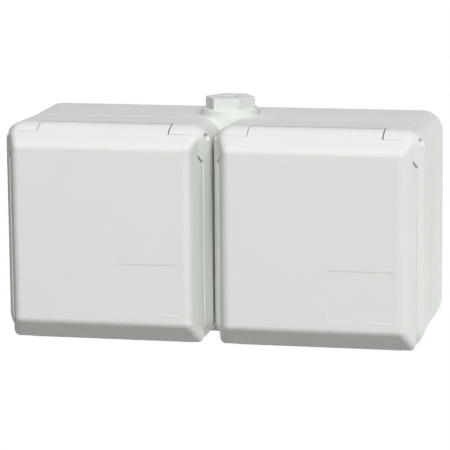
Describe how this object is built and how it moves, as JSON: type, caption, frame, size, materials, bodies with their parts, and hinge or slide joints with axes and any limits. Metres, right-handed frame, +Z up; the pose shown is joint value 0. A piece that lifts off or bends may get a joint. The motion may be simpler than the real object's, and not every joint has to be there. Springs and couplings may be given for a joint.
{
  "type": "double wall socket",
  "caption": "Surface-mounted splash-proof wall socket with hinged, spring-closed lids side by side on one housing and a hexagonal cable gland on top.",
  "frame": {"origin": "middle of the rear face, which lies on the wall", "axes": "+X along the wall to the right, +Y into the wall, +Z up"},
  "size_m": [0.175, 0.072, 0.0986],
  "materials": {
    "housing_plastic": "fine satin, light grey",
    "insert_plastic": "smooth, light grey",
    "carrier_plastic": "matt, dark grey",
    "seal_rubber": "soft matt black",
    "fixing_steel": "zinc plated",
    "contact_brass": "plain brass"
  },
  "bodies": {
    "base": {"frame_screws": "fixing_steel", "gland_body": "housing_plastic", "gland_cap": "housing_plastic", "gland_locknut": "housing_plastic", "gland_seal": "seal_rubber", "insert_screws": "fixing_steel", "left_carrier_screws": "fixing_steel", "left_contact_carrier": "carrier_plastic", "left_earth_clip": "contact_brass", "left_frame_gasket": "seal_rubber", "left_front_frame": "housing_plastic", "left_hinge_pin": "fixing_steel", "left_lid_spring": "fixing_steel", "left_line_contact": "contact_brass", "left_neutral_contact": "contact_brass", "left_socket_insert": "insert_plastic", "left_terminal_screws": "fixing_steel", "rear_housing": "housing_plastic", "right_carrier_screws": "fixing_steel", "right_contact_carrier": "carrier_plastic", "right_earth_clip": "contact_brass", "right_frame_gasket": "seal_rubber", "right_front_frame": "housing_plastic", "right_hinge_pin": "fixing_steel", "right_lid_spring": "fixing_steel", "right_line_contact": "contact_brass", "right_neutral_contact": "contact_brass", "right_socket_insert": "insert_plastic", "right_terminal_screws": "fixing_steel"},
    "left_lid_body": {"left_lid": "housing_plastic", "left_lid_gasket": "seal_rubber"},
    "right_lid_body": {"right_lid": "housing_plastic", "right_lid_gasket": "seal_rubber"}
  },
  "joints": [
    {"name": "left_lid_hinge", "type": "hinge", "parent": "base", "child": "left_lid_body", "pos_m": [-0.044, -0.059, 0.0413], "axis": [-1, 0, 0], "range_deg": [0, 100], "stiffness_Nm_per_rad": 0.03, "springref_deg": -28.65},
    {"name": "right_lid_hinge", "type": "hinge", "parent": "base", "child": "right_lid_body", "pos_m": [0.044, -0.059, 0.0413], "axis": [-1, 0, 0], "range_deg": [0, 100], "stiffness_Nm_per_rad": 0.03, "springref_deg": -28.65}
  ]
}
